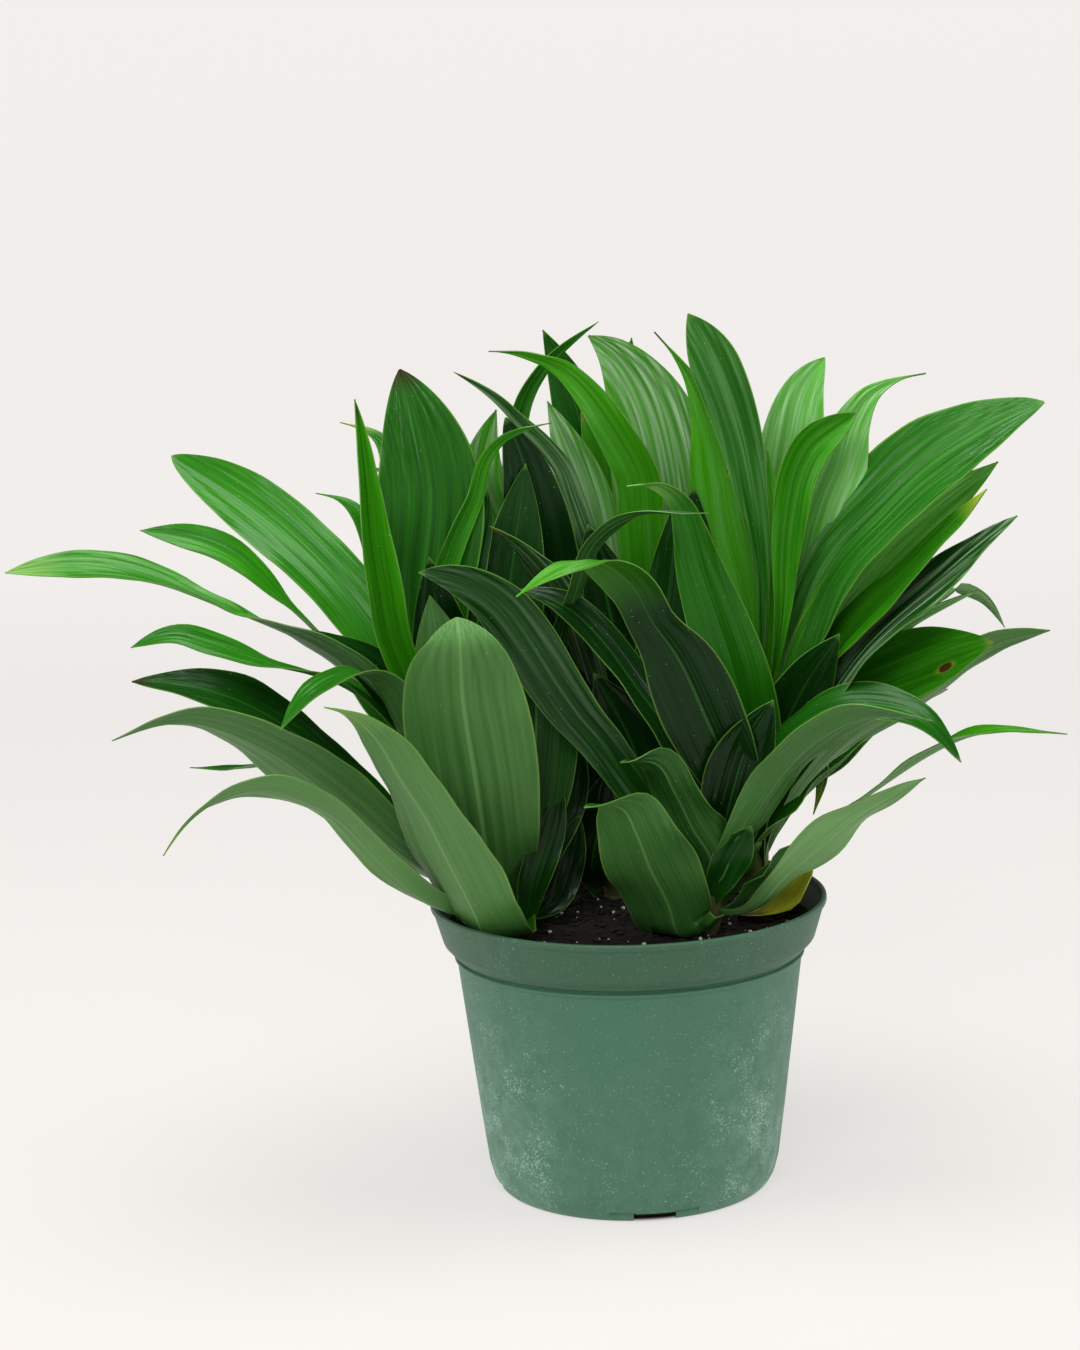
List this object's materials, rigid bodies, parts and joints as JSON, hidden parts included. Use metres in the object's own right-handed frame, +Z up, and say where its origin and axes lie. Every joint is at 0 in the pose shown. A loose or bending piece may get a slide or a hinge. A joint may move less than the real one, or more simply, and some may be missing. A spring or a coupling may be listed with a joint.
{
  "type": "potted dracaena",
  "caption": "Potted dracaena with dense rosettes of broad, glossy, arching strap leaves in a tapered round nursery pot with a stepped rim.",
  "frame": {"origin": "middle of the pot's flat underside, on the floor", "axes": "+Z up the pot's axis; +X along the foliage's widest spread, to the viewer's right; -Y to the viewer"},
  "size_m": [0.6573, 0.4346, 0.5606],
  "materials": {
    "pot_plastic": "matte",
    "potting_mix": "matte",
    "leaf_green": "satin",
    "leaf_yellow": "satin"
  },
  "bodies": {
    "root": {"pot": "pot_plastic", "soil": "potting_mix", "plant_left": "leaf_green", "plant_back": "leaf_green", "plant_right": "leaf_green", "plant_front": "leaf_green", "faded_leaf": "leaf_yellow"}
  },
  "joints": []
}
